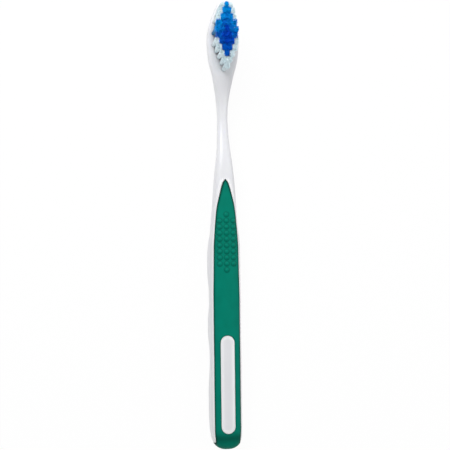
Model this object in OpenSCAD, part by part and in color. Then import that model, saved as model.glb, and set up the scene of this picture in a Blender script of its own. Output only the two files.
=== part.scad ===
// Manual toothbrush. One white moulding is the handle, the neck and the head plate.
// A soft grip is set into its front, and tufts of bristles stand in holes in the head,
// each folded over a small flat anchor that is pressed across the bottom of its hole.
// The brush lies on its back: X is across it, Y runs from the handle's end to the head,
// and Z is up, the way the bristles point. The origin is under the middle of its length.

/* [Handle] */
// Length of the thick handle, from its end to where the neck begins
handle_l = 116; // [100:1:130]
// Width of the handle
handle_w = 13.3; // [12:0.1:16]
// Depth of the handle, from the surface that it rests on to its front
handle_d = 14.2; // [12.6:0.1:17]
// Radius of the rounding at the handle's end
end_round = 4.5; // [3:0.1:5.5]
// Depth of the finger valleys in the back
wave_d = 1.3; // [0.4:0.1:2.4]
// How far the finger swells stand out at each side
wave_out = 0.7; // [0:0.05:0.9]
// How much is taken off the swells, so that the brush rests on flat lands
rest_cut = 0.25; // [0.1:0.05:0.5]

/* [Neck] */
// Length of the neck, from the handle to the head plate
neck_l = 44; // [36:1:56]
// Width of the neck at its thinnest place
neck_w = 4.5; // [3.8:0.1:6.5]
// Thickness of the neck at its thinnest place
neck_d = 4.65; // [3.8:0.05:6]
// Height of the neck's front at its thinnest place
neck_front = 8.7; // [7.8:0.1:10]

/* [Head] */
// Length of the head plate
head_l = 30; // [29:0.5:34]
// Width of the head plate
head_w = 13.6; // [12.8:0.1:16]
// Thickness of the head plate
head_t = 4.7; // [4.4:0.1:6]
// Height of the face that the bristles stand on
head_face = 11.9; // [11:0.1:14]

/* [Bristles] */
// How far the white bristles stand out of the head
white_trim = 10.2; // [8:0.1:13]
// How far the blue bristles stand out of the head
blue_trim = 10.5; // [8:0.1:13]
// Diameter of a tuft where it leaves its hole
tuft_d = 1.5; // [1.2:0.05:1.55]
// Gap all round a tuft in its hole
tuft_fit = 0.02; // [0.01:0.01:0.05]
// Depth of a tuft hole
hole_depth = 3.2; // [2.4:0.1:3.6]
// Distance from the start of the head plate to the first row of tufts
first_row = 0.8; // [0.5:0.1:1.2]
// Distance between the rows, along the head
pitch_along = 2.56; // [2.4:0.01:2.6]
// Distance between the tufts of a middle row
tuft_pitch = 2.08; // [1.95:0.01:2.2]
// How much wider a tuft is at its tips than at its root
splay = 1.22; // [1:0.01:1.25]

/* [Anchors] */
// Thickness of an anchor plate
anchor_t = 0.25; // [0.15:0.01:0.4]
// Height of an anchor plate
anchor_h = 1.1; // [0.8:0.05:1.6]
// How far an anchor bites into the wall at each side of its hole
anchor_bite = 0.18; // [0.05:0.01:0.25]

/* [Front grip] */
// How far the grip's pointed tip stops short of the neck
grip_short = 1.6; // [0.5:0.1:12]
// Width of the grip where it is widest
grip_w = 11.2; // [9.8:0.1:11.6]
// Thickness of the grip at the middle of the front
grip_t = 2.6; // [2:0.1:3.2]
// How far the grip stands proud of the handle
grip_proud = 0.2; // [0.1:0.05:0.5]
// How far the grip reaches down the handle's end, below the rounding
grip_wrap = 2.5; // [1:0.1:3.5]
// Length of the grip's heel, where it covers the whole width of the handle's end
grip_heel = 2.9; // [1.5:0.1:4]
// Gap between the grip and the handle's recess
grip_fit = 0.03; // [0.01:0.01:0.08]
// Length of the window in the grip, where the label land shows
window_l = 41.4; // [20:0.2:50]
// Width of the window
window_w = 6.1; // [3:0.1:6.6]
// Distance from the handle's end to the window
window_from_end = 7; // [5.5:0.5:12]
// Distance from the handle's end to the first raised dot
dots_from_end = 75.5; // [66:0.5:78]
// Diameter of a raised dot
dot_d = 1.7; // [1:0.1:2]
// Height of a raised dot
dot_h = 0.35; // [0.15:0.05:0.6]
// Distance between the columns of dots
dot_column_pitch = 2.8; // [2.4:0.1:3]
// Distance between the rows of dots
dot_row_pitch = 2.65; // [2.4:0.05:2.8]
// Rows of dots in the middle column; the outer columns have one less
dot_rows = 9; // [3:1:9]

/* [Hidden] */
// Tufts in each row, from the neck to the tip, and how many in the middle of it are blue
ROW_TUFTS = [1, 2, 3, 4, 5, 4, 5, 4, 5, 4, 3];
ROW_BLUE = [0, 0, 1, 2, 3, 4, 5, 4, 3, 2, 1];
ROWS = len(ROW_TUFTS);
MOST_TUFTS = max(ROW_TUFTS);
// Each row's pitch as a share of tuft_pitch, and how far the row bows away from the tip
pitch_shares = [1, 1, 1, 1, 1, 1, 1, 0.98, 0.84, 0.84, 0.84];
bow_shares = [0, 0, 0, 0, 0, 0, 0.02, 0.05, 0.1, 0.17, 0.3];

// The handle: place along it, half width, height of the front, height of the back
handle_shares = [
    [0, 0.88, 1, 0], [0.033, 0.94, 1, 0], [0.065, 0.985, 1, 0], [0.1, 1, 1, 0],
    [0.43, 1, 1, 0], [0.724, 0.995, 1, 0], [0.759, 0.97, 1, 0.005], [0.784, 0.915, 1, 0.03],
    [0.828, 0.83, 0.998, 0.1], [0.871, 0.775, 0.988, 0.18], [0.914, 0.735, 0.968, 0.26],
    [0.957, 0.685, 0.94, 0.33], [1, 0.62, 0.905, 0.39],
];
// From the handle down to the neck: place along the neck, then what is left of the step
// from the neck to the handle in half width, in the front's height and in thickness
shoulder_shares = [
    [0.068, 0.83, 0.94, 0.76], [0.136, 0.65, 0.847, 0.53], [0.25, 0.34, 0.61, 0.18],
    [0.364, 0.14, 0.3, 0.036], [0.455, 0.045, 0.106, 0], [0.545, 0, 0, 0],
];
// From the neck up to the head plate: the same, for the step from the neck to the plate
throat_shares = [
    [0.659, 0.033, 0.046, 0.1], [0.773, 0.165, 0.26, 0.27],
    [0.886, 0.365, 0.6, 0.45], [0.977, 0.545, 0.88, 0.75], [1, 0.605, 0.94, 0.82],
];
// The head plate: place along it, half width, height of the front, thickness
head_shares = [
    [0.083, 0.83, 0.995, 1], [0.167, 0.91, 1, 1], [0.267, 0.965, 1, 1], [0.4, 1, 1, 1],
    [0.52, 0.98, 1, 1], [0.6, 0.92, 1, 1], [0.7, 0.805, 1, 1], [0.783, 0.675, 1, 0.98],
    [0.867, 0.51, 1, 0.92], [0.933, 0.36, 0.985, 0.8], [0.973, 0.23, 0.965, 0.64],
    [1, 0.07, 0.94, 0.4],
];
// The places of the last sections before the head's tip
tip_shares = [0.8, 0.85, 0.89, 0.92, 0.945, 0.965, 0.98, 0.992, 1];
// The finger swells: middle and half length, as shares of the handle's length
swell_shares = [[0.155, 0.164], [0.44, 0.095], [0.672, 0.112]];
// Where the finger valleys fade out into the shoulder
fade_shares = [0.76, 0.86];
// The grip's plan: place along it and half width
grip_shares = [
    [0, 0.9], [0.035, 0.945], [0.07, 1], [0.55, 1], [0.656, 0.966], [0.75, 0.937],
    [0.795, 0.883], [0.839, 0.81],
    [0.885, 0.72], [0.906, 0.652], [0.929, 0.54], [0.951, 0.43], [0.974, 0.3],
    [0.99, 0.17], [1, 0.03],
];
// How square the sections are: 2 is an ellipse, and more is squarer
handle_square = 2.8;
neck_square = 2.3;
head_square = 3.8;
// How deep below the widest place a swell reaches its full width, as a share of half depth
flank_share = 0.5;

// Sections along the brush and points round each one
ring_gap = 2;
ring_points = 32;
end_rings = 6;
plan_points = 36;
arc_points = 8;
// Facets of a round hole, plug or dot
round_fn = 32;

// The strands of a tuft stand on two circles; sizes are shares of the tuft's radius
inner_strands = 3;
outer_strands = 7;
inner_share = 0.28;
outer_share = 0.752;
strand_share = 0.213;
strand_tip_share = 0.85;
// How far a strand is sunk into the tuft's root, as a share of the hole's depth
strand_root_share = 0.15;
// How unequal the strands' tips are, as a share of their length
tip_vary_share = 0.02;
// Angle that each tuft is turned by from the one before, so that no two stand alike
tuft_angle = 47;
// Waves of the strands' heights round a tuft
tip_waves = 5;

// Overrun of cuts past the face that they open in
cut_over = 1;
// What is cut off the crown of the head section to leave a flat face
face_crown = 0.5;
// How far before the head plate the flat face may begin
face_run = 2.5;
// How deep a dot is rooted in the grip, and the steps of its dome
dot_root = 0.7;
dome_steps = 4;

brush_l = handle_l + neck_l + head_l;
neck_end = handle_l + neck_l;
grip_l = handle_l - grip_short;
grip_floor = handle_d - grip_t;
hole_r = tuft_d / 2 + tuft_fit;
hole_floor = head_face - hole_depth;

// The body's form: place, half width, height of the front, height of the back, squareness
last = handle_shares[len(handle_shares) - 1];
joint = [handle_w / 2 * last[1], handle_d * last[2], handle_d * (last[2] - last[3])];
thin = [neck_w / 2, neck_front, neck_d];
plate = [head_w / 2, head_face + face_crown, head_t + face_crown];
function station(y, size, square) = [y, size[0], size[1], size[1] - size[2], square];
function between(a, b, share) = [for (k = [0 : 2]) a[k] + (b[k] - a[k]) * share[k + 1]];
FORM = concat(
    [for (s = handle_shares)
        [s[0] * handle_l, s[1] * handle_w / 2, s[2] * handle_d, s[3] * handle_d, handle_square]],
    [for (s = shoulder_shares)
        station(handle_l + s[0] * neck_l, between(thin, joint, s),
            neck_square + (handle_square - neck_square) * s[1])],
    [for (s = throat_shares)
        station(handle_l + s[0] * neck_l, between(thin, plate, s),
            neck_square + (head_square - neck_square) * s[1])],
    [for (s = head_shares)
        station(neck_end + s[0] * head_l,
            [plate[0] * s[1], plate[1] * s[2], plate[2] * s[3]], head_square)]
);

// A smooth curve through a table's points that never swings past them
function rise(t, i, k) = (t[i + 1][k] - t[i][k]) / (t[i + 1][0] - t[i][0]);
function slope(t, i, k) =
    i == 0 || i == len(t) - 1 ? 0
    : let (a = rise(t, i - 1, k), b = rise(t, i, k)) a * b <= 0 ? 0 : 2 * a * b / (a + b);
function span(t, y) = max([for (i = [0 : len(t) - 2]) if (i == 0 || t[i][0] <= y) i]);
function along(t, y, k) =
    let (
        i = span(t, y),
        gap = t[i + 1][0] - t[i][0],
        u = min(1, max(0, (y - t[i][0]) / gap)),
        v = 1 - u
    )
    v * v * (1 + 2 * u) * t[i][k] + u * u * (1 + 2 * v) * t[i + 1][k]
        + u * v * v * gap * slope(t, i, k) - u * u * v * gap * slope(t, i + 1, k);

// How much of a finger swell stands at a place, from 0 in a valley to 1 on a crest
function bump(y, s) =
    let (u = min(1, abs(y / handle_l - s[0]) / s[1]), b = (1 + cos(180 * u)) / 2)
    1 - (1 - b) * (1 - b);
function swell(y) = min(1, bump(y, swell_shares[0]) + bump(y, swell_shares[1])
    + bump(y, swell_shares[2]));
function ease(u) = u * u * (3 - 2 * u);
function fade(y) =
    1 - ease(min(1, max(0, (y / handle_l - fade_shares[0]) / (fade_shares[1] - fade_shares[0]))));

// How far the rounded end has drawn the section in
function inset(y) = y >= end_round ? 0
    : end_round - sqrt(max(0, end_round * end_round - (end_round - y) * (end_round - y)));
function half_w(y) = along(FORM, y, 1) - inset(y);
function front_z(y) = along(FORM, y, 2) - inset(y);
function back_z(y) = along(FORM, y, 3) + inset(y)
    + (wave_d * (1 - swell(y)) - rest_cut) * fade(y);
function flank(y, s) = s >= 0 ? 0 : wave_out * swell(y) * fade(y) * ease(min(1, -s / flank_share));
function power(c, n) = sign(c) * pow(abs(c), 2 / n);

// Height of the front's surface at a place
function crown(x, y) =
    let (n = along(FORM, y, 4), h = (front_z(y) - back_z(y)) / 2, u = min(1, abs(x) / half_w(y)))
    front_z(y) - h + h * pow(1 - pow(u, n), 1 / n);

// One section of the body, out by the given amount all round
function section(y, out) =
    let (n = along(FORM, y, 4), h = (front_z(y) - back_z(y)) / 2, mid = front_z(y) - h)
    [for (i = [0 : ring_points - 1])
        let (t = 360 * i / ring_points, c = cos(t), s = sin(t))
        [(half_w(y) + flank(y, s) + out) * power(c, n), y - out * (y == 0 ? 1 : 0),
            max(0, mid + (h + out) * power(s, n))]];

// Sections through the given places, joined into one closed body
module skin(places, out) {
    count = len(places);
    n = ring_points;
    points = [for (y = places) each section(y, out)];
    sides = [for (j = [0 : count - 2]) for (i = [0 : n - 1])
        let (a = j * n + i, b = j * n + (i + 1) % n)
        each [[a, b, b + n], [a, b + n, a + n]]];
    caps = [for (i = [1 : n - 2])
        let (e = (count - 1) * n)
        each [[0, i + 1, i], [e, e + i, e + i + 1]]];
    polyhedron(points, concat(sides, caps), convexity = 6);
}

end_places = [for (i = [0 : end_rings]) end_round * (1 - cos(90 * i / end_rings))];
function spread(from, to) =
    let (count = ceil((to - from) / ring_gap))
    [for (i = [1 : count]) from + (to - from) * i / count];

// The grip's plan and its heel across the handle's end, with a gap added all round
module grip_plan(gap) {
    side = [for (i = [0 : plan_points])
        let (u = 1 - pow(1 - i / plan_points, 2))
        [along(grip_shares, u, 1) * grip_w / 2 + gap, u * (grip_l + gap)]];
    back = [for (i = [plan_points : -1 : 0]) [-side[i][0], side[i][1]]];
    polygon(concat([[side[0][0], -cut_over]], side, back, [[-side[0][0], -cut_over]]));
    translate([-handle_w, -cut_over]) square([2 * handle_w, grip_heel + gap + cut_over]);
}

// The side view of the room that the grip takes: above the floor and round the end
module grip_side(gap) {
    r = end_round - grip_t - gap;
    wrap_z = handle_d - end_round - grip_wrap - gap;
    arc = [for (i = [0 : arc_points])
        let (a = 90 * i / arc_points)
        [end_round - r * cos(a), handle_d - end_round + r * sin(a)]];
    polygon(concat(
        [[-cut_over, wrap_z], [grip_t + gap, wrap_z]], arc,
        [[handle_l, grip_floor - gap], [handle_l, handle_d + cut_over],
            [-cut_over, handle_d + cut_over]]
    ));
}

// The window's outline, a slot with round ends
module window_plan(gap) {
    r = window_w / 2 + gap;
    translate([-r, window_from_end + window_w / 2])
        square([2 * r, window_l - window_w]);
    for (y = [window_w / 2, window_l - window_w / 2])
        translate([0, window_from_end + y]) circle(r, $fn = round_fn);
}

// The room that the grip takes in the handle, with the label land left standing in it
module grip_room(gap) {
    difference() {
        intersection() {
            linear_extrude(handle_d + cut_over) grip_plan(gap);
            rotate([90, 0, 90])
                translate([0, 0, -handle_w]) linear_extrude(2 * handle_w) grip_side(gap);
        }
        linear_extrude(handle_d + 2 * cut_over) window_plan(-gap);
    }
}

// The holes for the tufts and the slots that their anchors bite into
function tuft_x(row, k) = (k - (ROW_TUFTS[row] - 1) / 2) * tuft_pitch * pitch_shares[row];
function tuft_y(row, x) =
    neck_end + first_row + row * pitch_along - bow_shares[row] * x * x / tuft_pitch;
function is_blue(row, k) = abs(k - (ROW_TUFTS[row] - 1) / 2) < ROW_BLUE[row] / 2;

module at_tufts(row) {
    for (k = [0 : ROW_TUFTS[row] - 1]) {
        x = tuft_x(row, k);
        translate([x, tuft_y(row, x), 0]) {
            $tuft = k;
            children();
        }
    }
}

module anchor_plate(gap) {
    w = anchor_t + 2 * gap;
    l = 2 * (hole_r + anchor_bite + gap);
    translate([-w / 2, -l / 2, hole_floor]) cube([w, l, anchor_h + gap]);
}

module tuft_hole() {
    translate([0, 0, hole_floor]) cylinder(h = hole_depth + cut_over, r = hole_r, $fn = round_fn);
    anchor_plate(tuft_fit);
}

// The white moulding
module handle() {
    places = concat(end_places, spread(end_round, neck_end + tip_shares[0] * head_l),
        [for (i = [1 : len(tip_shares) - 1]) neck_end + tip_shares[i] * head_l]);
    color("#e6e5ea") translate([0, -brush_l / 2, 0]) difference() {
        skin(places, 0);
        translate([-head_w, neck_end - face_run, head_face])
            cube([2 * head_w, head_l + face_run + cut_over, face_crown + cut_over]);
        grip_room(grip_fit);
        for (row = [0 : ROWS - 1]) at_tufts(row) tuft_hole();
    }
}

// A raised dot with a domed top, rooted in the grip
module dot(x, y) {
    top = crown(x, y) + grip_proud;
    dome = [for (i = [0 : dome_steps])
        let (a = 90 * i / dome_steps)
        [dot_d / 2 * cos(a), dot_h * sin(a)]];
    translate([x, y, top])
        rotate_extrude($fn = round_fn) polygon(concat([[0, -dot_root], [dot_d / 2, -dot_root]], dome));
}

// The soft grip on the front
module front_grip() {
    color("#007d67") translate([0, -brush_l / 2, 0]) {
        intersection() {
            skin(concat(end_places, spread(end_round, handle_l)), grip_proud);
            grip_room(0);
        }
        for (i = [0 : dot_rows - 1])
            dot(0, dots_from_end + i * dot_row_pitch);
        for (side = [-1, 1])
            for (i = [0 : dot_rows - 2])
                dot(side * dot_column_pitch, dots_from_end + (i + 1 / 2) * dot_row_pitch);
    }
}

// One strand from its root to its tip, square in section and slimmer at the tip
module strand(from, to, r) {
    ends = [[from, r], [to, r * strand_tip_share]];
    points = [for (e = ends) for (i = [0 : 3])
        e[0] + e[1] * [cos(90 * i), sin(90 * i), 0]];
    sides = [for (i = [0 : 3])
        let (j = (i + 1) % 4)
        each [[i, i + 4, j + 4], [i, j + 4, j]]];
    polyhedron(points, concat(sides, [[0, 1, 2], [0, 2, 3], [4, 6, 5], [4, 7, 6]]));
}

// One tuft: its folded root in the hole, split round the anchor, and its strands
module tuft(trim, turn) {
    r = tuft_d / 2;
    root_z = head_face - hole_depth * strand_root_share;
    difference() {
        union() {
            translate([0, 0, hole_floor + tuft_fit])
                cylinder(h = hole_depth - tuft_fit, r = r, $fn = round_fn);
            for (ring = [[inner_strands, inner_share], [outer_strands, outer_share]])
                for (i = [0 : ring[0] - 1]) {
                    a = turn + 360 * i / ring[0];
                    at = r * ring[1] * [cos(a), sin(a)];
                    tip = trim * (1 - tip_vary_share * (1 + sin(a * tip_waves + turn)) / 2);
                    strand([at[0], at[1], root_z],
                        [at[0] * splay, at[1] * splay, head_face + tip], r * strand_share);
                }
        }
        anchor_plate(tuft_fit);
    }
}

module white_tufts(row) {
    color("#eef3f8") translate([0, -brush_l / 2, 0]) at_tufts(row)
        if (!is_blue(row, $tuft)) tuft(white_trim, tuft_angle * (row * MOST_TUFTS + $tuft));
}

module blue_tufts(row) {
    color("#0a56b4") translate([0, -brush_l / 2, 0]) at_tufts(row)
        if (is_blue(row, $tuft)) tuft(blue_trim, tuft_angle * (row * MOST_TUFTS + $tuft));
}

// The flat metal plates that hold the tufts of a row
module tuft_anchors(row) {
    color("#b9a36a") translate([0, -brush_l / 2, 0]) at_tufts(row) anchor_plate(0);
}

handle();
front_grip();
for (r = [0 : ROWS - 1])
    if (ROW_TUFTS[r] > ROW_BLUE[r])
        white_tufts(r);
for (r = [0 : ROWS - 1])
    if (ROW_BLUE[r] > 0)
        blue_tufts(r);
for (r = [0 : ROWS - 1])
    tuft_anchors(r);
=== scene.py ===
# Looks of the manual toothbrush: the white moulding, the soft grip and the bristles as
# smooth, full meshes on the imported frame, their materials, and a plain pale studio.
import math
import random
from collections import namedtuple

import bmesh
import bpy
import numpy as np
from mathutils import Matrix, Vector


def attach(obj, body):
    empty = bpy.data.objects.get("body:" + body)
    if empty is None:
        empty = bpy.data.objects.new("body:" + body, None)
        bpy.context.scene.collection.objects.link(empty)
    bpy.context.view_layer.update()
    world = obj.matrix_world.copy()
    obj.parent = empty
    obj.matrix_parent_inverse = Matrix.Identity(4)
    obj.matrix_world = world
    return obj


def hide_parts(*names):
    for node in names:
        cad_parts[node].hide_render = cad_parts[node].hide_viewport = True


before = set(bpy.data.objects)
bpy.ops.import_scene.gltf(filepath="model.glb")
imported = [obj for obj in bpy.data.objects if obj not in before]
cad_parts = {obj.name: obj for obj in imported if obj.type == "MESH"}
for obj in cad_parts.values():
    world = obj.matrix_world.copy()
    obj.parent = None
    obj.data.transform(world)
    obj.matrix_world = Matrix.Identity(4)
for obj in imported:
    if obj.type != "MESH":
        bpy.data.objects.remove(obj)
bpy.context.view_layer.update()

# Lengths are in metres. Y runs along the brush and is counted from the handle's end, X runs
# across it, and Z goes up from the surface that the brush lies on.

# The body
HANDLE_L = 0.116
NECK_L = 0.044
HEAD_L = 0.030
BRUSH_L = HANDLE_L + NECK_L + HEAD_L
NECK_END = HANDLE_L + NECK_L
HANDLE_W = 0.0133
HANDLE_D = 0.0142
NECK_W = 0.0045
NECK_D = 0.00465
HEAD_W = 0.0136
HEAD_T = 0.0047
# Height of the neck's front
NECK_FRONT = 0.0087
# Height of the head's flat face, how far the section would rise over it, and where it begins
HEAD_FACE = 0.0119
FACE_CROWN = 0.0005
FACE_START = NECK_END - NECK_L / 4
# Rounding of the handle's end, of the face's edge and of the lands that the back rests on
END_ROUND = 0.0045
FACE_SOFT = 0.0006
LAND_SOFT = 0.0001
# Finger swells: depth of the valleys in the back, bulge of the flanks beside the swells, and
# how deep their crests are cut flat
WAVE_D = 0.0013
WAVE_OUT = 0.0007
REST_CUT = 0.00025
# The handle: place along it, half width, height of the front, height of the back, as shares
HANDLE_SHARES = [
    [0, 0.88, 1, 0], [0.033, 0.94, 1, 0], [0.065, 0.985, 1, 0], [0.1, 1, 1, 0],
    [0.43, 1, 1, 0], [0.724, 0.995, 1, 0], [0.759, 0.97, 1, 0.005], [0.784, 0.915, 1, 0.03],
    [0.828, 0.83, 0.998, 0.1], [0.871, 0.775, 0.988, 0.18], [0.914, 0.735, 0.968, 0.26],
    [0.957, 0.685, 0.94, 0.33], [1, 0.62, 0.905, 0.39],
]
# From the handle down to the neck, and from the neck up to the head plate: place along the
# neck, then what is left of the step in half width, in the front's height and in thickness
SHOULDER_SHARES = [
    [0.068, 0.83, 0.94, 0.76], [0.136, 0.65, 0.847, 0.53], [0.25, 0.34, 0.61, 0.18],
    [0.364, 0.14, 0.3, 0.036], [0.455, 0.045, 0.106, 0], [0.545, 0, 0, 0],
]
THROAT_SHARES = [
    [0.659, 0.033, 0.046, 0.1], [0.773, 0.165, 0.26, 0.27],
    [0.886, 0.365, 0.6, 0.45], [0.977, 0.545, 0.88, 0.75], [1, 0.605, 0.94, 0.82],
]
# The head plate: place along it, half width, height of the front, thickness
HEAD_SHARES = [
    [0.083, 0.83, 0.995, 1], [0.167, 0.91, 1, 1], [0.267, 0.965, 1, 1], [0.4, 1, 1, 1],
    [0.52, 0.98, 1, 1], [0.6, 0.92, 1, 1], [0.7, 0.805, 1, 1], [0.783, 0.675, 1, 0.98],
    [0.867, 0.51, 1, 0.92], [0.933, 0.36, 0.985, 0.8], [0.973, 0.23, 0.965, 0.64],
    [1, 0.07, 0.94, 0.4],
]
# The finger swells: middle and half length, and where the valleys fade out
SWELL_SHARES = [[0.155, 0.164], [0.44, 0.095], [0.672, 0.112]]
FADE_SHARES = [0.76, 0.86]
# Sine of the section's angle under its middle from which the flanks bulge in full
FLANK_SHARE = 0.5
# Squareness of the sections: 2 is an ellipse, and more is squarer
HANDLE_SQUARE = 2.8
NECK_SQUARE = 2.3
HEAD_SQUARE = 3.8
# Columns of the body's stations, after the place
HALF_WIDTH, FRONT, BACK, SQUARE = 1, 2, 3, 4

# The soft grip: its size on the front, its thickness, its rise over the handle, how far it
# wraps down round the handle's end, and how far from the end it spans the full width
GRIP_L = 0.1144
GRIP_W = 0.0112
GRIP_T = 0.0026
GRIP_PROUD = 0.0002
GRIP_WRAP = 0.0025
GRIP_HEEL = 0.0029
# Roundings of the grip's outline: at the end of its wrap, and at its heel and elsewhere
WRAP_SOFT = GRIP_HEEL / 4
HEEL_SOFT = GRIP_HEEL / 6
# Depth of the handle's recess and of the grip's underside
RECESS_DEPTH = GRIP_T * 0.6
UNDER_DEPTH = GRIP_T * 0.58
# The grip's plan: place along it and half width, and how fast it narrows past its tip
GRIP_SHARES = [
    [0, 0.9], [0.035, 0.945], [0.07, 1], [0.55, 1], [0.656, 0.966], [0.75, 0.937],
    [0.795, 0.883], [0.839, 0.81], [0.885, 0.72], [0.906, 0.652], [0.929, 0.54],
    [0.951, 0.43], [0.974, 0.3], [0.99, 0.17], [1, 0.03],
]
TIP_FALL = 2
# The window over the label land
WINDOW_L = 0.0414
WINDOW_W = 0.0061
WINDOW_FROM_END = 0.007
# Raised dots in three columns: the side columns have one dot less at each end
DOTS_FROM_END = 0.0761
DOT_R = 0.00098
DOT_H = 0.00048
DOT_COLUMN_PITCH = 0.00285
DOT_ROW_PITCH = 0.00259
DOT_ROWS = 10
# Fullness of a dot's dome, rounding of its foot, and how many radii its form reaches
DOT_FULLNESS = 0.35
DOT_SOFT = DOT_H / 5
DOT_REACH = 1.4
# The groove between grip and handle, and the rounded edges of the recess and of the grip
GROOVE = 0.00004
LIP = 0.0002
GRIP_EDGE = 0.0004
# Painted shade on the grip: its colour is darker within these distances of its outer seam and of
# its window, and this share of it is lost at the window
SEAM = 0.0013
WINDOW_SEAM = 0.0007
WINDOW_DIM = 0.3
# Painted shade round the foot of each dot: share lost, and place and reach in radii from the dot's
# middle
DOT_DIM = 0.45
DOT_DIM_PLACE = 1.1
DOT_DIM_REACH = 0.2
# Painted shade where the grip turns down at the handle's end: share lost, place and reach
END_DIM = 0.6
END_DIM_PLACE = 0.0051
END_DIM_REACH = 0.002
# Painted highlight: the handle's colour is brighter within this distance of the grip
PAINTED_HIGHLIGHT_REACH = 0.0011

# The tufts: how many each row has from the neck to the tip, and how many of them are blue
ROW_TUFTS = [1, 2, 3, 4, 5, 4, 5, 4, 5, 4, 3]
ROW_BLUE = [0, 0, 1, 2, 3, 4, 5, 4, 3, 2, 1]
# Place of the first row on the head, pitch of the rows, and pitch of the tufts in a row
FIRST_ROW = 0.0008
PITCH_ALONG = 0.00256
TUFT_PITCH = 0.00208
# Towards the tip the rows are closer set, and their outer tufts sit further back
PITCH_SHARES = [1, 1, 1, 1, 1, 1, 1, 0.98, 0.84, 0.84, 0.84]
BOW_SHARES = [0, 0, 0, 0, 0, 0, 0.02, 0.05, 0.1, 0.17, 0.3]
# Radius of a tuft's root and of its hole, and the hole's depth and rounded edge
TUFT_R = 0.00075
HOLE_R = 0.00077
HOLE_DEPTH = 0.0032
HOLE_LIP = 0.00008
# Length of the bristles over the face
WHITE_TRIM = 0.0102
BLUE_TRIM = 0.0105
# The strands of a tuft: how many, radius, sides, and how deep in the hole they begin
STRANDS = 110
STRAND_R = 0.000118
STRAND_SIDES = 6
ROOT_DEPTH = HOLE_DEPTH / 5
# Turn from one strand to the next, which spreads them evenly over a tuft
GOLDEN_ANGLE = math.pi * (3 - math.sqrt(5))
# Rings of a strand: share of its length, and share of its radius
STRAND_RINGS = [(0, 1), (0.3, 1), (0.62, 1), (0.86, 0.97)]
# Rings of its round tip: radii below the tip, and share of its radius
TIP_RINGS = [(0.8, 0.97), (0.35, 0.84), (0.1, 0.5)]
# Spread of the lean of a tuft, of a tip's place, of a strand's bow, and of a strand's length
# as a share of it
TUFT_LEAN = 0.00008
TIP_STRAY = 0.0001
STRAND_BOW = 0.00003
TRIM_STRAY = 0.006
# Share that the tips fill of a tuft's cell on the face of the brush
TIP_FILL = 0.98
# Outermost tufts of each row: reach away from the middle as a share of the cell's, and lean
OUTER_REACH = [1.1, 1.1, 1.1, 1.1, 0.85, 1.6, 0.85, 1.6, 0.9, 1.1, 1.1]
OUTER_LEAN = [0, 0, 0, 0, 0, 0, -0.00025, 0, -0.0001, 0, 0]
# Last row: reach towards the tip of the head as a share of the cell's
TOP_REACH = 0.6
# Spread of the tone from tuft to tuft, and how far painted shade darkens the strands towards a
# tuft's rim
TONE_VARY = 0.12
RIM_SHADE = 0.6
RIM_POWER = 4
# Painted light: the row in the middle of the deep blue, how many rows and tufts its tone takes to
# turn light, and the share of that way in which it stays deep
DEEP_ROW = 4.6
DEEP_ROWS = 4.2
DEEP_TUFTS = 2.8
DEEP_CORE = 0.25
RANDOM_SEED = 7

# Meshing: points round a section, and points that its outline is measured with
HANDLE_POINTS = 128
GRIP_POINTS = 224
FINE_POINTS = 2880
# Sections over the handle's rounded end, distances between the others, and the last places
# on the head as shares of its length
END_RINGS = 14
BODY_GAP = 0.0005
HEAD_GAP = 0.00028
GRIP_GAP = 0.00045
DOTS_GAP = 0.00019
GRIP_TIP_GAP = 0.0003
HEAD_TIP_SHARES = [0.91, 0.92, 0.93, 0.94, 0.95, 0.96, 0.968, 0.975, 0.981, 0.986, 0.99, 0.993,
                   0.996, 0.998, 1]
# Where the head's closer sections begin and end
HEAD_MESH_START = NECK_END - HEAD_L / 10
HEAD_MESH_END = NECK_END + 0.9 * HEAD_L
# Sizes of the rings that fill an end, and lines of edges over a rounded edge
FILL_SHARES = [0.8, 0.6, 0.4, 0.2]
EDGE_STEPS = [1, 0.72, 0.42, 0.16, 0]
# The top of a recess's wall is a line at its outline, and the foot is one this far inside it
WALL = GROOVE / 2
# Vertices further than this outside the grip's outline are cut away
CUT_AWAY = GROOVE / 10
# Edges that turn more than this are shown sharp
SHARP_ANGLE = math.radians(50)
# Cutting a line: steps of the search, margin at an edge's ends, and a nudge off its vertices
SEARCH_STEPS = 3
END_MARGIN = 0.02
NUDGE = 1e-10
# Length over which a slope is measured, and the steepest slope that counts
SLOPE_STEP = 0.00005
STEEPEST = 3
# Share of the half width past which the front's height is held
NEAR_SIDE = 0.999
# A number next to nothing
TINY = 1e-6
# More radii than the grip's form round a dot reaches
FAR_FROM_DOTS = 10.0


# The body's form
def body_form():
    """Stations along the brush: place, half width, front, back and squareness."""
    last = HANDLE_SHARES[-1]
    joint = (HANDLE_W / 2 * last[1], HANDLE_D * last[2], HANDLE_D * (last[2] - last[3]))
    thin = (NECK_W / 2, NECK_FRONT, NECK_D)
    plate = (HEAD_W / 2, HEAD_FACE + FACE_CROWN, HEAD_T + FACE_CROWN)
    rows = [[s[0] * HANDLE_L, s[1] * HANDLE_W / 2, s[2] * HANDLE_D, s[3] * HANDLE_D,
             HANDLE_SQUARE] for s in HANDLE_SHARES]
    for shares, target, square in ((SHOULDER_SHARES, joint, HANDLE_SQUARE),
                                   (THROAT_SHARES, plate, HEAD_SQUARE)):
        for s in shares:
            w, top, thick = (a + (b - a) * k for a, b, k in zip(thin, target, s[1:]))
            rows.append([HANDLE_L + s[0] * NECK_L, w, top, top - thick,
                         NECK_SQUARE + (square - NECK_SQUARE) * s[1]])
    for s in HEAD_SHARES:
        w, top, thick = (size * k for size, k in zip(plate, s[1:]))
        rows.append([NECK_END + s[0] * HEAD_L, w, top, top - thick, HEAD_SQUARE])
    return rows


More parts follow.
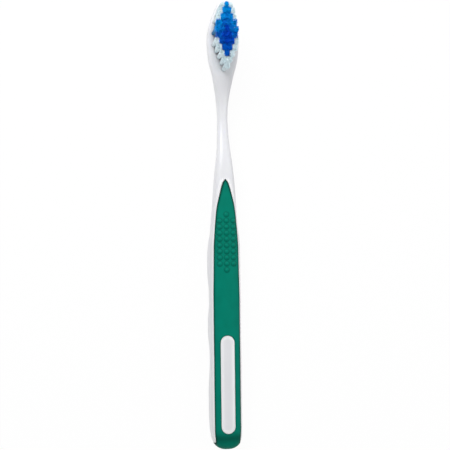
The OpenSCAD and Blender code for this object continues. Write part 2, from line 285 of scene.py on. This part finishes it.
def along(table, y, column):
    """A smooth curve through a table's points that never swings past them."""
    table = np.asarray(table, float)
    places, values = table[:, 0], table[:, column]
    rise = np.diff(values) / np.diff(places)
    slope = np.zeros(len(places))
    product = rise[:-1] * rise[1:]
    total = np.where(product > 0, rise[:-1] + rise[1:], 1)
    slope[1:-1] = np.where(product > 0, 2 * product / total, 0)
    i = np.clip(np.searchsorted(places, y, side="right") - 1, 0, len(places) - 2)
    gap = places[i + 1] - places[i]
    u = np.clip((y - places[i]) / gap, 0, 1)
    v = 1 - u
    return (v * v * (1 + 2 * u) * values[i] + u * u * (1 + 2 * v) * values[i + 1]
            + u * v * v * gap * slope[i] - u * u * v * gap * slope[i + 1])


def ease(u):
    """A smooth step from 0 to 1."""
    u = np.clip(u, 0, 1)
    return u * u * (3 - 2 * u)


def soft_min(a, b, k):
    """The lesser of two values, with a rounding of about k where they meet."""
    h = np.clip(0.5 + 0.5 * (b - a) / k, 0, 1)
    return b * (1 - h) + a * h - k * h * (1 - h)


def soft_max(a, b, k):
    """The greater of two values, rounded in the same way."""
    return -soft_min(-a, -b, k)


FORM = body_form()


def swell(y):
    """How much of a finger swell stands at a place, from 0 in a valley to 1 on a crest."""
    total = np.zeros_like(y)
    for middle, reach in SWELL_SHARES:
        u = np.minimum(1, np.abs(y / HANDLE_L - middle) / reach)
        total = total + 1 - (1 - (1 + np.cos(math.pi * u)) / 2) ** 2
    return np.minimum(1, total)


def fade(y):
    """1 along the handle, and 0 where its swells and valleys have ended."""
    return 1 - ease((y / HANDLE_L - FADE_SHARES[0]) / (FADE_SHARES[1] - FADE_SHARES[0]))


def inset(y):
    """How far the rounded end has drawn the section in."""
    down = np.clip(END_ROUND - y, 0, END_ROUND)
    return END_ROUND - np.sqrt(END_ROUND ** 2 - down ** 2)


def half_width(y):
    """Half the body's width at a place, without the bulge of its flanks."""
    return along(FORM, y, HALF_WIDTH) - inset(y)


def front(y):
    """Height of the body's front at a place."""
    return along(FORM, y, FRONT) - inset(y)


def back(y):
    """Height of the body's back at a place, below 0 at the crests until they are cut flat."""
    return along(FORM, y, BACK) + inset(y) + (WAVE_D * (1 - swell(y)) - REST_CUT) * fade(y)


def flank(y, s):
    """Bulge of the flanks beside the swells, where s is the sine of the section's angle."""
    return np.where(s >= 0, 0, WAVE_OUT * swell(y) * fade(y) * ease(-s / FLANK_SHARE))


def power(c, n):
    """A cosine or sine, changed to draw a section of squareness n instead of an ellipse."""
    return np.sign(c) * np.abs(c) ** (2 / n)


def crown(x, y):
    """Height of the front's surface at a place."""
    n = along(FORM, y, SQUARE)
    h = (front(y) - back(y)) / 2
    u = np.minimum(NEAR_SIDE, np.abs(x) / half_width(y))
    return front(y) - h + h * (1 - u ** n) ** (1 / n)


def ring(y, count):
    """Evenly spaced points round the section at a place, with the face and lands cut flat."""
    angle = np.linspace(0, 2 * math.pi, FINE_POINTS + 1)
    y = np.full_like(angle, y)
    n = along(FORM, y, SQUARE)
    h = (front(y) - back(y)) / 2
    c, s = np.cos(angle), np.sin(angle)
    x = (half_width(y) + flank(y, s)) * power(c, n)
    z = front(y) - h + h * power(s, n)
    run = np.concatenate([[0], np.cumsum(np.hypot(np.diff(x), np.diff(z)))])
    at = np.linspace(0, run[-1], count, endpoint=False)
    x, z = np.interp(at, run, x), np.interp(at, run, z)
    if y[0] > FACE_START:
        z = soft_min(z, HEAD_FACE, FACE_SOFT)
    z = soft_max(z, 0, LAND_SOFT)
    return np.column_stack([x, np.full_like(x, y[0]), z])


def skin(places, count, closed_tip):
    """A mesh of sections through the given places, with the ends filled by smaller rings."""
    rings = [ring(y, count) for y in places]
    first, last = rings[0], rings[-1]
    rings = [first.mean(0) + (first - first.mean(0)) * k for k in FILL_SHARES[::-1]] + rings
    if closed_tip:
        rings += [last.mean(0) + (last - last.mean(0)) * k for k in FILL_SHARES]
    bm = bmesh.new()
    rows = [[bm.verts.new(p) for p in points] for points in rings]
    for a, b in zip(rows, rows[1:]):
        for i in range(count):
            j = (i + 1) % count
            bm.faces.new((a[i], b[i], b[j], a[j]))
    bm.faces.new(rows[0])
    if closed_tip:
        bm.faces.new(rows[-1][::-1])
    bm.normal_update()
    return bm


def end_places():
    """Places of the sections over the rounded end, spaced evenly round its arc."""
    angles = [math.pi / 2 * i / END_RINGS for i in range(END_RINGS + 1)]
    return [END_ROUND * (1 - math.cos(a)) for a in angles]


def spread(start, end, gap):
    """Even places after the start, up to the end, no further apart than the gap."""
    count = max(1, math.ceil((end - start) / gap - TINY))
    return [start + (end - start) * i / count for i in range(1, count + 1)]


# Lines cut into a mesh along the outlines of the grip, the window and the tuft holes
def places_of(verts):
    """The places of vertices as an array."""
    return np.array([v.co[:] for v in verts])


def cut_line(bm, field, level):
    """Cuts a line of edges into the mesh along which the field has the given level."""
    bm.verts.index_update()
    value = field(places_of(bm.verts)) - level + NUDGE
    edges = list(bm.edges)
    ends = np.array([(e.verts[0].index, e.verts[1].index) for e in edges])
    crossing = np.nonzero(value[ends[:, 0]] * value[ends[:, 1]] < 0)[0]
    if len(crossing) == 0:
        return
    co = places_of(bm.verts)
    a, b = co[ends[crossing, 0]], co[ends[crossing, 1]]
    low, high = np.zeros(len(crossing)), np.ones(len(crossing))
    f_low, f_high = value[ends[crossing, 0]], value[ends[crossing, 1]]
    share = f_low / (f_low - f_high)
    for _ in range(SEARCH_STEPS):
        f = field(a + (b - a) * share[:, None]) - level
        near = f * f_low > 0
        low, f_low = np.where(near, share, low), np.where(near, f, f_low)
        high, f_high = np.where(near, high, share), np.where(near, f_high, f)
        share = low + (high - low) * f_low / np.where(f_low == f_high, 1, f_low - f_high)
    new = []
    for i, s in zip(crossing, np.clip(share, END_MARGIN, 1 - END_MARGIN)):
        edge = edges[i]
        new.append(bmesh.utils.edge_split(edge, edge.verts[0], float(s))[1])
    is_new = set(new)
    # Each face once, in an order that is the same in every run
    for face in dict.fromkeys(f for v in new for f in v.link_faces):
        on = [v for v in face.verts if v in is_new]
        if len(on) == 2:
            bmesh.utils.face_split(face, on[0], on[1])


def fillet(distance, radius):
    """Depth of a rounded edge at a distance from it: the radius at the edge, then nothing."""
    inner = np.clip(radius - distance, 0, radius)
    return radius - np.sqrt(radius ** 2 - inner ** 2)


def window_field(p):
    """Distance outside the window's outline, a slot with round ends."""
    r = WINDOW_W / 2
    low, high = WINDOW_FROM_END + r, WINDOW_FROM_END + WINDOW_L - r
    return np.hypot(p[:, 0], p[:, 1] - np.clip(p[:, 1], low, high)) - r


def pad_field(p):
    """Distance inside the grip's outer outline, measured along the surface of the body."""
    x, y, z = np.abs(p[:, 0]), p[:, 1], p[:, 2]
    u = y / GRIP_L
    share = along(GRIP_SHARES, u, 1)
    half = share * GRIP_W / 2
    lean = (along(GRIP_SHARES, u + SLOPE_STEP / GRIP_L, 1) - share) * GRIP_W / 2 / SLOPE_STEP
    fall = crown(x - SLOPE_STEP, y) - crown(x + SLOPE_STEP, y)
    drop = np.clip(fall / (2 * SLOPE_STEP), 0, STEEPEST)
    past_tip = GRIP_SHARES[-1][1] * GRIP_W / 2 - TIP_FALL * (y - GRIP_L)
    plan = np.where(y < GRIP_L, half, past_tip) - x
    plan = plan * np.sqrt(1 + drop ** 2) / np.sqrt(1 + lean ** 2)
    heel = GRIP_HEEL - y
    outline = soft_max(plan, heel, HEEL_SOFT)
    # The grip reaches no deeper than its thickness under the front and the rounded end
    corner = END_ROUND - GRIP_T
    core_y, core_z = END_ROUND, HANDLE_D - END_ROUND
    over = np.hypot(np.minimum(y - core_y, 0), np.maximum(z - core_z, 0)) - corner
    side = np.where(y < core_y, over, z - core_z - corner)
    wrap = z - (HANDLE_D - END_ROUND - GRIP_WRAP)
    edge = soft_min(side, wrap, WRAP_SOFT)
    return soft_min(outline, edge, HEEL_SOFT)


def grip_field(p):
    """Distance inside the grip, with its window."""
    return np.minimum(pad_field(p), window_field(p))


def recess_field(p):
    """Distance inside the handle's recess, which is wider than the grip by the groove."""
    return grip_field(p) + GROOVE


Tuft = namedtuple("Tuft", "row number x y colour")


def tuft_places():
    """Every tuft, row by row, with its number in the row, its place and its colour."""
    found = []
    for row, count in enumerate(ROW_TUFTS):
        for k in range(count):
            from_middle = k - (count - 1) / 2
            x = from_middle * TUFT_PITCH * PITCH_SHARES[row]
            y = NECK_END + FIRST_ROW + row * PITCH_ALONG - BOW_SHARES[row] * x * x / TUFT_PITCH
            colour = "blue" if abs(from_middle) < ROW_BLUE[row] / 2 else "white"
            found.append(Tuft(row, k, x, y, colour))
    return found


TUFTS = tuft_places()
TUFT_XY = np.array([[t.x, t.y] for t in TUFTS])


def hole_field(p):
    """Distance inside the nearest tuft hole, on the face only."""
    gap = np.hypot(p[:, 0, None] - TUFT_XY[:, 0], p[:, 1, None] - TUFT_XY[:, 1]).min(1)
    on_face = p[:, 2] > HEAD_FACE - HEAD_T / 3
    return np.where(on_face, HOLE_R - gap, -HEAD_W)


def shifted(bm):
    """Places and normals of all the vertices, ready to be moved."""
    bm.normal_update()
    bm.verts.index_update()
    return places_of(bm.verts), np.array([v.normal[:] for v in bm.verts])


def settle(bm, places):
    """Moves all the vertices to their new places."""
    for v, p in zip(bm.verts, places):
        v.co = p


def store(bm, name, shares):
    """Keeps a share for each vertex, which a material reads by its name."""
    layer = bm.verts.layers.float.new(name)
    for v, share in zip(bm.verts, shares):
        v[layer] = share


def finish_piece(bm, name, replaced, material, sharp=None):
    """Puts a mesh into the scene in the frame's place, smooth, riding on the brush."""
    # The frame counts Y from the middle of the brush
    bmesh.ops.translate(bm, verts=bm.verts, vec=(0, -BRUSH_L / 2, 0))
    for face in bm.faces:
        face.smooth = True
    mesh = bpy.data.meshes.new(name)
    bm.to_mesh(mesh)
    bm.free()
    if sharp:
        mesh.set_sharp_from_angle(angle=sharp)
    piece = bpy.data.objects.new(name, mesh)
    bpy.context.scene.collection.objects.link(piece)
    mesh.materials.append(material)
    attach(piece, "root")
    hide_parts(*replaced)
    return piece


# The pieces
def make_handle(material):
    """The white moulding, with the recess of the grip, the label land and the tuft holes."""
    places = end_places() + spread(END_ROUND, HEAD_MESH_START, BODY_GAP)
    places += spread(HEAD_MESH_START, HEAD_MESH_END, HEAD_GAP)
    places += [NECK_END + HEAD_L * s for s in HEAD_TIP_SHARES]
    bm = skin(places, HANDLE_POINTS, True)
    for share in EDGE_STEPS:
        cut_line(bm, recess_field, -LIP * share)
    cut_line(bm, recess_field, WALL)
    for share in EDGE_STEPS[::2]:
        cut_line(bm, hole_field, -HOLE_LIP * share)
    cut_line(bm, hole_field, WALL)
    co, normal = shifted(bm)
    f = recess_field(co)
    depth = np.where(f < WALL / 2, fillet(-f, LIP), RECESS_DEPTH)
    depth = np.where(f < -LIP, 0, depth)
    co = co - normal * depth[:, None]
    f = hole_field(co)
    depth = np.where(f < WALL / 2, fillet(-f, HOLE_LIP), HOLE_DEPTH)
    co[:, 2] -= np.where(f < -HOLE_LIP, 0, depth)
    # Painted highlight: the white is brighter near the rim of the grip's recess and its window
    store(bm, "painted_rim_highlight", np.exp(-(np.minimum(recess_field(co), 0) / PAINTED_HIGHLIGHT_REACH) ** 2))
    settle(bm, co)
    return finish_piece(bm, "handle_body", ["handle"], material, SHARP_ANGLE)


def dot_distance(p):
    """Distance from the middle of the nearest raised dot, as a share of its radius."""
    nearest = np.full(len(p), FAR_FROM_DOTS)
    for column in (-1, 0, 1):
        for i in range(abs(column), DOT_ROWS - abs(column)):
            y = DOTS_FROM_END + i * DOT_ROW_PITCH
            r = np.hypot(p[:, 0] - column * DOT_COLUMN_PITCH, p[:, 1] - y) / DOT_R
            nearest = np.minimum(nearest, r)
    return nearest


def dot_height(r):
    """Height of a raised dot at a distance from its middle."""
    dome = DOT_H * (1 - r ** 2) * (1 + DOT_FULLNESS * r ** 2)
    return np.where(r < DOT_REACH, soft_max(dome, 0, DOT_SOFT), 0)


def open_share(co, r):
    """Painted light on the grip: 1 where it is fully lit, less where shade is painted at its
    seams, round its dots and at its end.
    """
    at_end = np.exp(-((co[:, 1] - END_DIM_PLACE) / END_DIM_REACH) ** 2)
    at_window = 1 - ease(window_field(co) / WINDOW_SEAM)
    at_dot = np.exp(-((r - DOT_DIM_PLACE) / DOT_DIM_REACH) ** 2)
    from_seam = ease(pad_field(co) / SEAM)
    return (from_seam * (1 - END_DIM * at_end) * (1 - WINDOW_DIM * at_window)
            * (1 - DOT_DIM * at_dot))


def make_grip(material):
    """The soft grip: a closed pad with rounded edges, raised dots and the window."""
    dots_start = DOTS_FROM_END - 2 * DOT_R
    dots_end = DOTS_FROM_END + DOT_ROWS * DOT_ROW_PITCH
    places = end_places() + spread(END_ROUND, dots_start, GRIP_GAP)
    places += spread(dots_start, dots_end, DOTS_GAP)
    places += spread(dots_end, HANDLE_L, GRIP_TIP_GAP)
    bm = skin(places, GRIP_POINTS, False)
    for share in EDGE_STEPS:
        cut_line(bm, grip_field, GRIP_EDGE * share)
    co, normal = shifted(bm)
    f = grip_field(co)
    r = dot_distance(co)
    # Painted shade: darker at the grip's seams, window, dots' feet and turned-down end
    store(bm, "open", open_share(co, r))
    settle(bm, co + normal * (GRIP_PROUD - fillet(f, GRIP_EDGE) + dot_height(r))[:, None])
    under = co - normal * UNDER_DEPTH
    under_of = {v: under[v.index] for v in bm.verts}
    outside = [v for v in bm.verts if f[v.index] < -CUT_AWAY]
    bmesh.ops.delete(bm, geom=outside, context="VERTS")
    rim = [e for e in bm.edges if e.is_boundary]
    faces = list(bm.faces)
    twin = {v: bm.verts.new(under_of[v]) for v in list(bm.verts)}
    for face in faces:
        bm.faces.new([twin[v] for v in reversed(face.verts)])
    for edge in rim:
        loop = edge.link_loops[0]
        a, b = loop.vert, loop.link_loop_next.vert
        bm.faces.new((b, a, twin[a], twin[b]))
    return finish_piece(bm, "soft_grip", ["front_grip"], material, SHARP_ANGLE)


def add_strand(points, faces, shades, root, tip, bow, shade):
    """One round-tipped filament from root to tip, bowed a little sideways."""
    length = (tip - root).length
    near_tip = [(1 - d * STRAND_R / length, k) for d, k in TIP_RINGS]
    rings = STRAND_RINGS + near_tip
    start = len(points)
    for s, k in rings:
        at = root.lerp(tip, s) + bow * math.sin(math.pi * s)
        for i in range(STRAND_SIDES):
            a = 2 * math.pi * i / STRAND_SIDES
            x, y = at.x + STRAND_R * k * math.cos(a), at.y + STRAND_R * k * math.sin(a)
            points.append((x, y, at.z))
            shades.append(shade)
    points.append(tip[:])
    shades.append(shade)
    n = STRAND_SIDES
    for j in range(len(rings) - 1):
        for i in range(n):
            a, b = start + j * n + i, start + j * n + (i + 1) % n
            faces.append((a, b, b + n, a + n))
    last = start + (len(rings) - 1) * n
    for i in range(n):
        faces.append((last + i, last + (i + 1) % n, len(points) - 1))
    faces.append(tuple(range(start + n - 1, start - 1, -1)))


def painted_tuft_light(x, y):
    """Painted light on a tuft: 0 (deep) in the middle of the diamond, up to 1 (light) away from
    it.
    """
    middle = NECK_END + FIRST_ROW + DEEP_ROW * PITCH_ALONG
    across = abs(x) / (DEEP_TUFTS * TUFT_PITCH)
    along_head = abs(y - middle) / (DEEP_ROWS * PITCH_ALONG)
    return float(ease(across + along_head - DEEP_CORE))


def cell_reach(row, k, c, s):
    """How far a tuft's share of the brush's face reaches in a direction: a hexagon."""
    half = TUFT_PITCH * PITCH_SHARES[row] / 2
    slanted = (half ** 2 + PITCH_ALONG ** 2) / 2 / (half * abs(c) + PITCH_ALONG * abs(s))
    reach = min(half / max(abs(c), TINY), slanted)
    outward = max(c if k == ROW_TUFTS[row] - 1 else 0, -c if k == 0 else 0)
    upward = max(s, 0) if row == len(ROW_TUFTS) - 1 else 0
    return reach * (1 + (OUTER_REACH[row] - 1) * outward) * (1 + (TOP_REACH - 1) * upward)


def make_tufts(row, colour, material, draw):
    """All the strands of one colour in a row."""
    trim = BLUE_TRIM if colour == "blue" else WHITE_TRIM
    points, faces, shades, tones = [], [], [], []
    for _, k, x, y, _ in [t for t in TUFTS if (t.row, t.colour) == (row, colour)]:
        turn = draw.uniform(0, 2 * math.pi)
        lean = Vector((draw.gauss(0, TUFT_LEAN), draw.gauss(0, TUFT_LEAN), 0))
        lean.x += OUTER_LEAN[row] * ((k == ROW_TUFTS[row] - 1) - (k == 0))
        # Painted light by the tuft's place in the diamond, with a random spread of tone
        tone = painted_tuft_light(x, y) + draw.uniform(-TONE_VARY, TONE_VARY)
        for i in range(STRANDS):
            out = math.sqrt((i + 0.5) / STRANDS)
            a = turn + i * GOLDEN_ANGLE
            side = Vector((math.cos(a), math.sin(a), 0)) * out
            reach = cell_reach(row, k, math.cos(a), math.sin(a)) * TIP_FILL
            root = Vector((x, y, HEAD_FACE - ROOT_DEPTH)) + side * (TUFT_R - STRAND_R / 2)
            stray = Vector((draw.gauss(0, TIP_STRAY), draw.gauss(0, TIP_STRAY), 0))
            height = trim * (1 - abs(draw.gauss(0, TRIM_STRAY)))
            tip = Vector((x, y, HEAD_FACE + height)) + side * reach + lean + stray
            bow = Vector((draw.gauss(0, STRAND_BOW), draw.gauss(0, STRAND_BOW), 0))
            # A random tone for each strand, darkened by painted shade towards the tuft's rim
            shade = draw.random() * (1 - RIM_SHADE * out ** RIM_POWER)
            add_strand(points, faces, shades, root, tip, bow, shade)
        tones += [tone] * (len(points) - len(tones))
    mesh = bpy.data.meshes.new("strands")
    mesh.from_pydata(points, [], faces)
    mesh.attributes.new("shade", "FLOAT", "POINT").data.foreach_set("value", shades)
    mesh.attributes.new("tone", "FLOAT", "POINT").data.foreach_set("value", tones)
    bm = bmesh.new()
    bm.from_mesh(mesh)
    bpy.data.meshes.remove(mesh)
    node = f"{colour}_tufts_row_{row + 1}"
    return finish_piece(bm, f"{colour}_bristles_row_{row + 1}", [node], material)


# Materials: two values of a colour or a roughness are the ends that noise wanders between
WHITE_TONES = [(0.915, 0.92, 0.95), (0.925, 0.93, 0.96)]
WHITE_ROUGH = [0.29, 0.33]
GRIP_TONES = [(0.0, 0.172, 0.118), (0.0, 0.192, 0.134)]
GRIP_ROUGH = [0.46, 0.56]
METAL_TONES = [(0.56, 0.49, 0.32), (0.66, 0.58, 0.39)]
METAL_ROUGH = [0.28, 0.42]
# What is left of the handle's colour away from its painted highlight, and of the grip's in its
# painted shade
WHITE_AWAY_FROM_HIGHLIGHT = 0.77
GRIP_IN_PAINTED_SHADE = 0.1
# The metal's noise is drawn out along Y
WIRE_STRETCH = (1, 0.1, 1)
# Most of a noise's values lie between these two
NOISE_LOW = 0.3
NOISE_HIGH = 0.7
# Filaments: colour of a deep and of a light tuft (painted light), what is left of it under the
# painted shade at the foot and in the darkest strand, and gloss
NYLONS = {
    "white": {"deep": (0.86, 0.95, 1.0), "light": (0.8, 0.95, 1.0), "foot": (1, 1, 1),
              "darkest": 0.97, "gloss": 0.4},
    "blue": {"deep": (0.0, 0.092, 0.72), "light": (0.0, 0.41, 1.0), "foot": (1, 0.65, 0.55),
             "darkest": 0.76, "gloss": 0.06},
}
# Shares of a tuft's height up to which the painted shade at the foot is full, and where it has
# ended
FOOT_FULL = 0.5
FOOT_ENDED = 0.9


def new_material(name):
    """A material with its node tree and its shader."""
    material = bpy.data.materials.new(name)
    material.use_nodes = True
    tree = material.node_tree
    return material, tree, tree.nodes["Principled BSDF"]


def set_inputs(node, values):
    """Sets a node's inputs by name."""
    for name, value in values.items():
        node.inputs[name].default_value = value


def add_node(tree, kind, **settings):
    """A node with the given inputs and properties."""
    node = tree.nodes.new(kind)
    for key, value in settings.items():
        if key in node.inputs:
            node.inputs[key].default_value = value
        else:
            setattr(node, key, value)
    return node


def noise(tree, scale, detail=3, stretch=None):
    """Noise over the object, drawn out along its axes by stretch."""
    place = add_node(tree, "ShaderNodeTexCoord")
    source = place.outputs["Object"]
    if stretch:
        mapping = add_node(tree, "ShaderNodeMapping", Scale=stretch)
        tree.links.new(source, mapping.inputs["Vector"])
        source = mapping.outputs["Vector"]
    texture = add_node(tree, "ShaderNodeTexNoise", Scale=scale, Detail=detail)
    tree.links.new(source, texture.inputs["Vector"])
    return texture.outputs["Fac"]


def ramp(tree, factor, stops):
    """Colours or greys picked by a factor between two stops."""
    node = add_node(tree, "ShaderNodeValToRGB")
    for element, (position, colour) in zip(node.color_ramp.elements, stops):
        element.position = position
        element.color = (*colour, 1) if hasattr(colour, "__len__") else (colour, colour, colour, 1)
    tree.links.new(factor, node.inputs["Fac"])
    return node.outputs["Color"]


def mottled(tree, ends, scale, detail=3, stretch=None):
    """Colours or greys that wander between two ends over the object."""
    return ramp(tree, noise(tree, scale, detail, stretch), zip((NOISE_LOW, NOISE_HIGH), ends))


def by_share(tree, attribute, ends):
    """Colours or greys picked between two ends by a share that the mesh keeps."""
    node = add_node(tree, "ShaderNodeAttribute", attribute_name=attribute)
    return ramp(tree, node.outputs["Fac"], zip((0.0, 1.0), ends))


def multiply(tree, a, b):
    """One colour times another."""
    node = add_node(tree, "ShaderNodeVectorMath", operation="MULTIPLY")
    tree.links.new(a, node.inputs[0])
    tree.links.new(b, node.inputs[1])
    return node.outputs["Vector"]


def bump(tree, shader, height, distance, strength):
    """A fine relief on a shader's surface."""
    node = add_node(tree, "ShaderNodeBump", Strength=strength, Distance=distance)
    tree.links.new(height, node.inputs["Height"])
    tree.links.new(node.outputs["Normal"], shader.inputs["Normal"])


def white_plastic():
    """White moulding, a little translucent, with a painted highlight at the rim round the grip."""
    material, tree, shader = new_material("white_plastic")
    set_inputs(shader, {"IOR": 1.49, "Subsurface Weight": 0.5, "Subsurface Scale": 1.0,
                        "Subsurface Radius": (0.0025, 0.0025, 0.0027)})
    tone = mottled(tree, WHITE_TONES, scale=60)
    # Painted highlight at the rim round the grip
    painted_light_factor = by_share(tree, "painted_rim_highlight", (WHITE_AWAY_FROM_HIGHLIGHT, 1.0))
    tree.links.new(multiply(tree, tone, painted_light_factor), shader.inputs["Base Color"])
    tree.links.new(mottled(tree, WHITE_ROUGH, scale=400), shader.inputs["Roughness"])
    bump(tree, shader, noise(tree, scale=5000, detail=2), distance=0.000002, strength=0.3)
    return material


def soft_rubber():
    """Satin elastomer, with painted shade in its seams and folds."""
    material, tree, shader = new_material("soft_rubber")
    set_inputs(shader, {"IOR": 1.48, "Specular IOR Level": 0.05})
    tone = mottled(tree, GRIP_TONES, scale=250, detail=4)
    # Painted shade in the grip's seams and folds
    painted_grip_shade = by_share(tree, "open", (GRIP_IN_PAINTED_SHADE, 1.0))
    tree.links.new(multiply(tree, tone, painted_grip_shade), shader.inputs["Base Color"])
    tree.links.new(mottled(tree, GRIP_ROUGH, scale=1500), shader.inputs["Roughness"])
    bump(tree, shader, noise(tree, scale=9000), distance=0.000012, strength=0.6)
    return material


def nylon(name, deep, light, foot, darkest, gloss):
    """Translucent filament: each a little different, deep or light by the place of its tuft as
    painted light, with painted shade towards its foot and at a tuft's rim.
    """
    material, tree, shader = new_material(name)
    set_inputs(shader, {"IOR": 1.53, "Specular IOR Level": gloss, "Roughness": 0.35,
                        "Subsurface Weight": 0.15, "Subsurface Scale": 1.0,
                        "Subsurface Radius": (0.0001, 0.00011, 0.00012)})
    # Painted light: deep in the middle of the diamond, light away from it
    column = by_share(tree, "tone", (deep, light))
    # Random tone of the strands, with painted shade at each tuft's rim
    tone_and_painted_rim_shade = by_share(tree, "shade", (darkest, 1.0))
    place = add_node(tree, "ShaderNodeTexCoord")
    axes = add_node(tree, "ShaderNodeSeparateXYZ")
    tree.links.new(place.outputs["Object"], axes.inputs["Vector"])
    up = add_node(tree, "ShaderNodeMapRange")
    set_inputs(up, {"From Min": HEAD_FACE, "From Max": HEAD_FACE + WHITE_TRIM})
    tree.links.new(axes.outputs["Z"], up.inputs["Value"])
    # Painted shade: darker towards the feet of the strands
    painted_light_factor = ramp(tree, up.outputs["Result"], [(FOOT_FULL, foot), (FOOT_ENDED, (1, 1, 1))])
    colour = multiply(tree, multiply(tree, column, tone_and_painted_rim_shade), painted_light_factor)
    tree.links.new(colour, shader.inputs["Base Color"])
    return material


def anchor_metal():
    """Plain drawn wire."""
    material, tree, shader = new_material("anchor_metal")
    set_inputs(shader, {"Metallic": 1.0})
    tree.links.new(mottled(tree, METAL_TONES, scale=3000), shader.inputs["Base Color"])
    rough = mottled(tree, METAL_ROUGH, scale=6000, stretch=WIRE_STRETCH)
    tree.links.new(rough, shader.inputs["Roughness"])
    return material


# The studio: the camera looks down on the brush from a little to its left, slightly rolled
CAMERA_TURN = math.radians(9)
CAMERA_ROLL = math.radians(0.7)
CAMERA_DISTANCE = 0.4
CAMERA_LENS = 75
CAMERA_SENSOR = 36
CAMERA_AIM = Vector((0.00034, 0, 0.0085))
# Light of the world on the object, and the lamps: place, size and watts
WORLD_LIGHT = 0.43
LAMPS = {
    "key": ((-0.25, 0.46, 0.5), (0.4, 0.4), 3.6),
    "fill": ((0.4, 0.1, 0.5), (0.5, 0.7), 1.3),
}
# The floor: half its side, its tone under the lamps, and how much of it shows plain white
FLOOR_REACH = 1.5
FLOOR_TONE = 0.94
FLOOR_WHITE = 0.95
WHITE = (1, 1, 1, 1)


def make_camera():
    """The camera that sees the brush as the photograph shows it."""
    data = bpy.data.cameras.new("camera")
    data.lens = CAMERA_LENS
    data.sensor_width = CAMERA_SENSOR
    data.clip_start = 0.01
    data.clip_end = 10
    camera = bpy.data.objects.new("camera", data)
    bpy.context.scene.collection.objects.link(camera)
    back_axis = Vector((-math.sin(CAMERA_TURN), 0, math.cos(CAMERA_TURN)))
    up_axis = Vector((0, 1, 0))
    turn = Matrix((up_axis.cross(back_axis), up_axis, back_axis)).transposed()
    roll = Matrix.Rotation(-CAMERA_ROLL, 3, "Z")
    place = Matrix.Translation(CAMERA_AIM + back_axis * CAMERA_DISTANCE)
    camera.matrix_world = place @ (turn @ roll).to_4x4()
    bpy.context.scene.camera = camera


def straight_light(tree):
    """1 for the rays that show the background itself: camera, glossy and transmission."""
    path = add_node(tree, "ShaderNodeLightPath")
    total = path.outputs["Is Camera Ray"]
    for name in ("Is Glossy Ray", "Is Transmission Ray"):
        joined = add_node(tree, "ShaderNodeMath", operation="MAXIMUM")
        tree.links.new(total, joined.inputs[0])
        tree.links.new(path.outputs[name], joined.inputs[1])
        total = joined.outputs["Value"]
    return total


def make_floor():
    """A pale floor that shows white and keeps the object's shadow."""
    bm = bmesh.new()
    bmesh.ops.create_grid(bm, x_segments=2, y_segments=2, size=FLOOR_REACH)
    mesh = bpy.data.meshes.new("floor")
    bm.to_mesh(mesh)
    bm.free()
    floor = bpy.data.objects.new("floor", mesh)
    bpy.context.scene.collection.objects.link(floor)
    material = bpy.data.materials.new("pale_floor")
    material.use_nodes = True
    tree = material.node_tree
    tree.nodes.clear()
    tone = (FLOOR_TONE, FLOOR_TONE, FLOOR_TONE, 1)
    shade = add_node(tree, "ShaderNodeBsdfDiffuse", Color=tone)
    glow = add_node(tree, "ShaderNodeEmission", Color=WHITE, Strength=1.0)
    share = add_node(tree, "ShaderNodeMath", operation="MULTIPLY")
    share.inputs[1].default_value = FLOOR_WHITE
    tree.links.new(straight_light(tree), share.inputs[0])
    mix = add_node(tree, "ShaderNodeMixShader")
    tree.links.new(share.outputs["Value"], mix.inputs["Fac"])
    tree.links.new(shade.outputs["BSDF"], mix.inputs[1])
    tree.links.new(glow.outputs["Emission"], mix.inputs[2])
    output = add_node(tree, "ShaderNodeOutputMaterial")
    tree.links.new(mix.outputs["Shader"], output.inputs["Surface"])
    mesh.materials.append(material)


def make_lamp(name, place, size, watts):
    """A rectangular lamp that points at the origin, under the middle of the brush."""
    data = bpy.data.lights.new(name, "AREA")
    data.shape = "RECTANGLE"
    data.size, data.size_y = size
    data.energy = watts
    lamp = bpy.data.objects.new(name, data)
    bpy.context.scene.collection.objects.link(lamp)
    lamp.location = place
    lamp.rotation_euler = (-Vector(place)).to_track_quat("-Z", "Y").to_euler()


def make_world():
    """An even light all round, which shows as plain white."""
    world = bpy.data.worlds.new("studio")
    bpy.context.scene.world = world
    world.use_nodes = True
    tree = world.node_tree
    light = tree.nodes["Background"]
    set_inputs(light, {"Color": WHITE})
    level = add_node(tree, "ShaderNodeMapRange")
    set_inputs(level, {"To Min": WORLD_LIGHT, "To Max": 1.0})
    tree.links.new(straight_light(tree), level.inputs["Value"])
    tree.links.new(level.outputs["Result"], light.inputs["Strength"])


def main():
    """Makes the pieces, their materials and the studio."""
    draw = random.Random(RANDOM_SEED)
    make_handle(white_plastic())
    make_grip(soft_rubber())
    nylons = {colour: nylon(f"{colour}_nylon", **look) for colour, look in NYLONS.items()}
    for row, count in enumerate(ROW_TUFTS):
        for colour, tufts in (("white", count - ROW_BLUE[row]), ("blue", ROW_BLUE[row])):
            if tufts:
                make_tufts(row, colour, nylons[colour], draw)
    metal = anchor_metal()
    for name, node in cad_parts.items():
        if name.startswith("tuft_anchors"):
            node.data.materials.clear()
            node.data.materials.append(metal)
    make_floor()
    make_world()
    for name, (place, size, watts) in LAMPS.items():
        make_lamp(name, place, size, watts)
    make_camera()
    bpy.context.scene.view_settings.view_transform = "Standard"


main()
